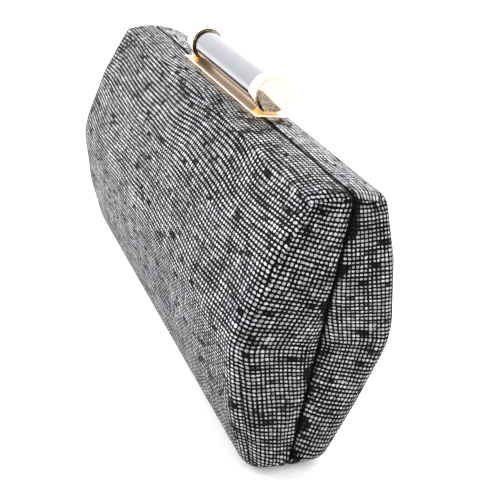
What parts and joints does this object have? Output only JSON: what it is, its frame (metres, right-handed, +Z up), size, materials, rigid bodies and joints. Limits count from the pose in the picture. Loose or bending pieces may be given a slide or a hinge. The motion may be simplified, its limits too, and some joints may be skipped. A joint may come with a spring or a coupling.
{
  "type": "box bag",
  "caption": "Hard-sided box clutch bag of two covered half shells hinged along the bottom, with a lifting bar clasp on top of the seam.",
  "frame": {"origin": "centre of the bounding box's bottom face, on the surface the bag stands on and in the plane of the seam", "axes": "+X along the bag's length, +Y from front to back, +Z up"},
  "size_m": [0.2054, 0.0604, 0.1221],
  "materials": {
    "covering": "black grained covering with a silver-grey crosshatch print, satin",
    "frame_black": "black satin enamel on steel",
    "clasp_gold": "polished pale rose-gold plating",
    "rod_dark": "polished dark nickel"
  },
  "bodies": {
    "front": {"front_shell": "covering", "front_frame": "frame_black", "case_hinge": "frame_black"},
    "back": {"back_shell": "covering", "back_frame": "frame_black", "clasp_hinge": "clasp_gold"},
    "clasp": {"clasp_plate": "clasp_gold", "clasp_rod": "rod_dark", "clasp_cap_left": "clasp_gold", "clasp_cap_right": "clasp_gold"}
  },
  "joints": [
    {"name": "case_open", "type": "hinge", "parent": "front", "child": "back", "pos_m": [0, 0, 0.0016], "axis": [-1, 0, 0], "range_deg": [0, 60]},
    {"name": "clasp_lift", "type": "hinge", "parent": "back", "child": "clasp", "pos_m": [0, 0.0077, 0.1071], "axis": [-1, 0, 0], "range_deg": [0, 40]}
  ]
}
